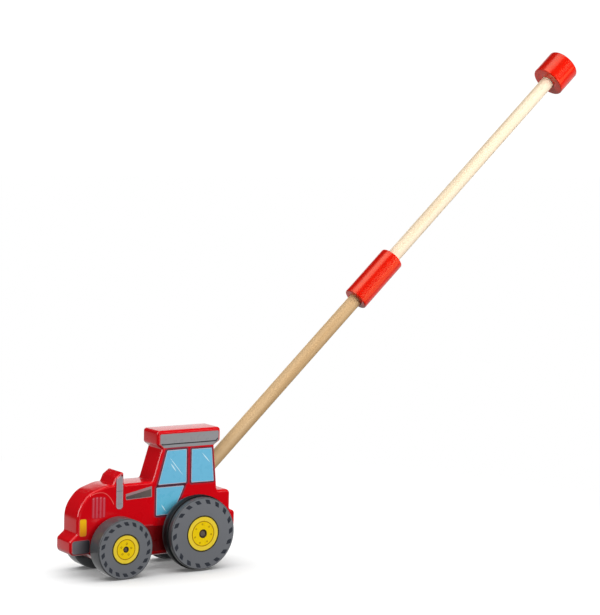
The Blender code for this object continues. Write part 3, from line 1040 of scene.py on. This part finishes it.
def make_camera():
    """The view: from the tractor's front left, a little above its roof, and rolled by a degree."""
    turn, drop, roll = (math.radians(angle) for angle in (VIEW_TURN, VIEW_DROP, VIEW_ROLL))
    level = Vector((-math.cos(turn), math.sin(turn), 0))
    back = Vector((math.sin(turn) * math.cos(drop), math.cos(turn) * math.cos(drop), math.sin(drop)))
    upright = back.cross(level)
    right = level * math.cos(roll) + upright * math.sin(roll)
    up = upright * math.cos(roll) - level * math.sin(roll)
    camera = bpy.data.objects.new("camera", bpy.data.cameras.new("camera"))
    bpy.context.scene.collection.objects.link(camera)
    facing = Matrix((right, up, back)).transposed().to_4x4()
    camera.matrix_world = Matrix.Translation(to_frame(*VIEW_FROM)) @ facing
    camera.data.sensor_fit = "HORIZONTAL"
    camera.data.sensor_width = 36
    camera.data.lens = LENS
    camera.data.clip_start, camera.data.clip_end = 0.05, 60
    bpy.context.scene.camera = camera
    return right, back


def area_light(name, location, target, size, power, color=(1, 1, 1)):
    light = bpy.data.lights.new(name, "AREA")
    light.shape = "RECTANGLE"
    light.size, light.size_y = size
    light.energy = power
    light.color = color
    obj = bpy.data.objects.new(name, light)
    bpy.context.scene.collection.objects.link(obj)
    obj.location = location
    obj.rotation_mode = "QUATERNION"
    obj.rotation_quaternion = (Vector(target) - Vector(location)).to_track_quat("-Z", "Y")
    return obj


def make_floor():
    """A pale floor that fades into the white background, kept out of the toy's reflections and bounce."""
    look = Surface("studio_floor")
    look.color(look.ramp(look.noise(3), (0.3, (FLOOR_GREY,) * 3), (0.7, (FLOOR_GREY + 0.01,) * 3)))
    look.shader.inputs["Roughness"].default_value = 0.7
    look.shader.inputs["Specular IOR Level"].default_value = 0.0
    look.shader.inputs["Emission Color"].default_value = (1, 1, 1, 1)
    look.shader.inputs["Emission Strength"].default_value = FLOOR_GLOW
    reach = look.add("ShaderNodeVectorMath", operation="DISTANCE")
    look.link(look.place, reach.inputs[0])
    reach.inputs[1].default_value = (ORIGIN.x, 0, 0)
    white = look.add("ShaderNodeEmission")
    blend = look.add("ShaderNodeMixShader")
    look.link(look.spread(reach.outputs["Value"], 0.0, 1.0, 0.2, 0.7), blend.inputs["Fac"])
    look.link(look.shader.outputs["BSDF"], blend.inputs[1])
    look.link(white.outputs["Emission"], blend.inputs[2])
    look.link(blend.outputs["Shader"], look.tree.nodes["Material Output"].inputs["Surface"])
    bm = bmesh.new()
    bmesh.ops.create_grid(bm, x_segments=8, y_segments=8, size=12)
    floor = finish_mesh("studio_floor", bm, [look.material])
    floor.location = (0, 0, -0.0001)
    floor.visible_glossy = False
    floor.visible_diffuse = False
    return floor


def make_world():
    """White behind the toy, a soft fill from above, and a low white backdrop for its reflections."""
    world = bpy.data.worlds.new("studio")
    bpy.context.scene.world = world
    world.use_nodes = True
    world.cycles.sampling_method = "NONE"
    tree = world.node_tree
    nodes, link = tree.nodes, tree.links.new
    way = nodes.new("ShaderNodeTexCoord").outputs["Generated"]

    def math_node(operation, a, b, c=0.0):
        node = nodes.new("ShaderNodeMath")
        node.operation = operation
        for socket, value in zip(node.inputs, (a, b, c)):
            if isinstance(value, bpy.types.NodeSocket):
                link(value, socket)
            else:
                socket.default_value = value
        return node.outputs["Value"]

    def along(direction, low, high):
        """0 where a ray's part along direction is under low, easing to 1 at high."""
        dot = nodes.new("ShaderNodeVectorMath")
        dot.operation = "DOT_PRODUCT"
        dot.inputs[1].default_value = direction
        link(way, dot.inputs[0])
        ease = nodes.new("ShaderNodeMapRange")
        ease.interpolation_type = "SMOOTHSTEP"
        ease.inputs["From Min"].default_value = low
        ease.inputs["From Max"].default_value = high
        link(dot.outputs["Value"], ease.inputs["Value"])
        return ease.outputs["Result"]

    def background(strength):
        node = nodes.new("ShaderNodeBackground")
        node.inputs["Color"].default_value = (1, 1, 1, 1)
        if isinstance(strength, bpy.types.NodeSocket):
            link(strength, node.inputs["Strength"])
        else:
            node.inputs["Strength"].default_value = strength
        return node.outputs["Background"]

    def choose(ray_kind, otherwise, chosen):
        mix = nodes.new("ShaderNodeMixShader")
        link(rays[ray_kind], mix.inputs["Fac"])
        link(otherwise, mix.inputs[1])
        link(chosen, mix.inputs[2])
        return mix.outputs["Shader"]

    rays = nodes.new("ShaderNodeLightPath").outputs
    behind = along((-BACK.x, -BACK.y, 0), -0.1, 0.45)
    low = along((0, 0, 1), -0.08, -0.22)
    height = along((0, 0, 1), -0.25, 0.35)
    fill = background(math_node("MULTIPLY_ADD", height, FILL_ABOVE - FILL_BELOW, FILL_BELOW))
    sweep = math_node("MULTIPLY_ADD", math_node("MULTIPLY", behind, low), 0.6, 0.02)
    for direction, start, full, strength in (
        ((-0.55, 0.73, 0.42), 0.93, 0.99, 0.6),  # behind the tractor on its near side, above
        ((0.75, 0.04, 0.67), 0.72, 0.92, 2.0),  # before its nose, above
        ((0.0, 0.88, -0.45), 0.88, 0.96, 1.6),  # on its near side, below
        ((-BACK.x, -BACK.y, 0.13), 0.86, 0.98, 0.85),  # across from the camera
    ):
        patch = along(Vector(direction).normalized(), start, full)
        sweep = math_node("MULTIPLY_ADD", patch, strength, sweep)
    mirrored = background(sweep)
    look = choose("Is Camera Ray", choose("Is Glossy Ray", fill, mirrored), background(1.05))
    link(look, nodes["World Output"].inputs["Surface"])


def sun(name, towards, energy, angle):
    light = bpy.data.lights.new(name, "SUN")
    light.energy = energy
    light.angle = math.radians(angle)
    obj = bpy.data.objects.new(name, light)
    bpy.context.scene.collection.objects.link(obj)
    obj.rotation_mode = "QUATERNION"
    obj.rotation_quaternion = towards.to_track_quat("Z", "Y")
    return obj


def make_lights(floor, pole):
    """Soft boxes for the toy, some for the pole or the tractor alone, and a light for the floor.

    pole holds the lower half, the upper half, the sleeve and the knob.
    """
    up = Vector((0, 0, 1))
    tractor = Vector((0.2, 0, 0.08))
    grip = Vector((-0.25, 0, 0.5))
    edge_way = Vector((0.12, 0.79, 0.51))
    pole_way = Vector((-0.58, 0.77, -0.22))
    middle = Vector((-0.18, 0, 0.42))
    for_toy = [
        sun("soft_overhead", BACK * 0.1 + up, SUN, 50),
        area_light("softbox_front", tractor + Vector((1.1, 0.15, 0.35)), tractor, (0.7, 0.7), FRONT_BOX),
        area_light("softbox_side", tractor + Vector((-0.55, 0.85, 0.5)), tractor, (0.7, 0.7), SIDE_BOX),
        area_light("softbox_far", tractor + Vector((-0.3, -1.1, 0.25)), tractor, (0.7, 0.7), FAR_BOX),
    ]
    for_pole = [
        area_light("softbox_top", grip - RIGHT * 0.25 + BACK * 0.75 + up * 0.75, grip, (0.5, 0.5), TOP_BOX),
    ]
    for_grips = [
        area_light("softbox_right", middle + pole_way * 1.1, middle, (0.8, 0.8), RIGHT_BOX, WARM),
    ]
    for_tractor = [area_light("edge_light", tractor + edge_way * 1.2, tractor, (0.2, 0.2), EDGE_BOX)]
    for_floor = [sun("floor_overhead", up - BACK * 0.12, FLOOR_SUN, 100)]
    for light in for_toy[2:] + for_pole:
        light.visible_glossy = False  # these only fill, and would glare in the lacquer
    grips = pole[2:]
    for name, lights, objects, state in (
        ("not the floor", for_toy, [floor], "EXCLUDE"),
        ("the pole", for_pole, pole, "INCLUDE"),
        ("the grips", for_grips, grips, "INCLUDE"),
        ("the tractor", for_tractor, [floor] + pole, "EXCLUDE"),
        ("the floor", for_floor, [floor], "INCLUDE"),
    ):
        receivers = bpy.data.collections.new(name)
        for obj in objects:
            receivers.objects.link(obj)
        for item in receivers.collection_objects:
            item.light_linking.link_state = state
        for light in lights:
            light.light_linking.receiver_collection = receivers


RIGHT, BACK = make_camera()
make_world()
make_body()
make_prints()
make_running_gear()
make_lights(make_floor(), make_pole())

view = bpy.context.scene.view_settings
view.view_transform = "Standard"
view.look = "None"
